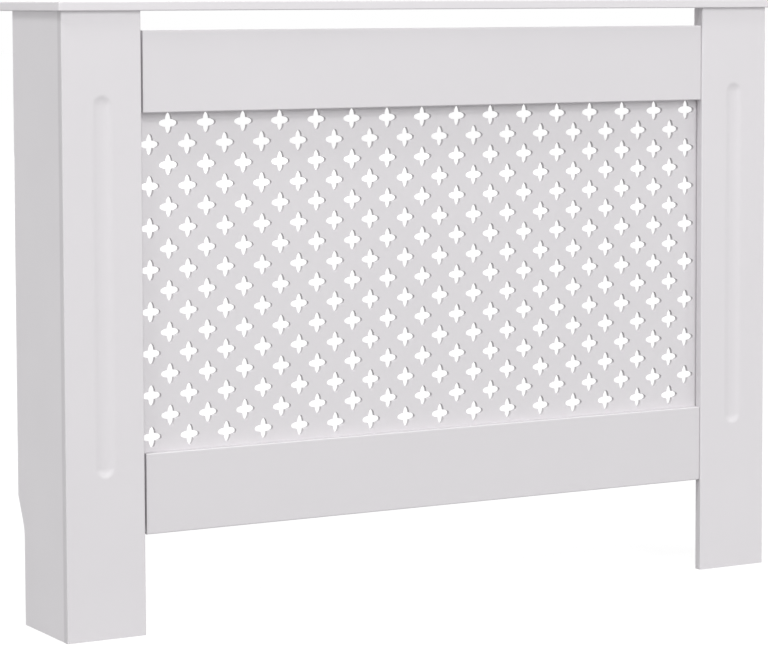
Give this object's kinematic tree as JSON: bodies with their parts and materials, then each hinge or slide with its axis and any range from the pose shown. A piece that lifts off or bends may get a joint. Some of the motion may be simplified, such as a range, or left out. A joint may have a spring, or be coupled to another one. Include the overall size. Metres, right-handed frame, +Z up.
{
  "type": "radiator cover cabinet",
  "caption": "White painted board radiator cover: flat shelf top, fluted pilasters, staggered cross-pierced grille between two rails, air slot, open back and skirting cut-outs.",
  "frame": {"origin": "on the floor, under the centre of the outer box", "axes": "+X to the right as seen from the front, +Y from the front to the wall, +Z up"},
  "size_m": [1.1, 0.2, 0.815],
  "materials": {
    "white_paint": "smooth satin white paint on medium density fibreboard",
    "softwood": "planed bare pine",
    "beech": "bare beech dowel",
    "zinc_plated_steel": "bright zinc plating",
    "cast_zinc": "tumbled zinc alloy casting"
  },
  "bodies": {
    "cabinet": {"top_board": "white_paint", "side_panel_left": "white_paint", "side_panel_right": "white_paint", "pilaster_left": "white_paint", "pilaster_right": "white_paint", "top_rail": "white_paint", "bottom_rail": "white_paint", "grille_panel": "white_paint", "corner_batten_left": "softwood", "corner_batten_right": "softwood", "rail_cleat_top_left": "white_paint", "rail_cleat_top_right": "white_paint", "rail_cleat_bottom_left": "white_paint", "rail_cleat_bottom_right": "white_paint", "batten_screws": "zinc_plated_steel", "cleat_screws": "zinc_plated_steel", "grille_screws": "zinc_plated_steel", "bracket_screws": "zinc_plated_steel", "top_dowels": "beech", "side_dowels": "beech", "cam_bolts": "zinc_plated_steel", "wall_bracket_left": "zinc_plated_steel", "wall_bracket_right": "zinc_plated_steel"},
    "cam_lock_left_front": {"cam_lock_left_front": "cast_zinc"},
    "cam_lock_left_rear": {"cam_lock_left_rear": "cast_zinc"},
    "cam_lock_right_front": {"cam_lock_right_front": "cast_zinc"},
    "cam_lock_right_rear": {"cam_lock_right_rear": "cast_zinc"}
  },
  "joints": [
    {"name": "cam_left_front_turn", "type": "hinge", "parent": "cabinet", "child": "cam_lock_left_front", "pos_m": [-0.54, -0.051, 0.769], "axis": [1, 0, 0], "range_deg": [0, 180]},
    {"name": "cam_left_rear_turn", "type": "hinge", "parent": "cabinet", "child": "cam_lock_left_rear", "pos_m": [-0.54, 0.03, 0.769], "axis": [1, 0, 0], "range_deg": [0, 180]},
    {"name": "cam_right_front_turn", "type": "hinge", "parent": "cabinet", "child": "cam_lock_right_front", "pos_m": [0.54, -0.051, 0.769], "axis": [-1, 0, 0], "range_deg": [0, 180]},
    {"name": "cam_right_rear_turn", "type": "hinge", "parent": "cabinet", "child": "cam_lock_right_rear", "pos_m": [0.54, 0.03, 0.769], "axis": [-1, 0, 0], "range_deg": [0, 180]}
  ]
}
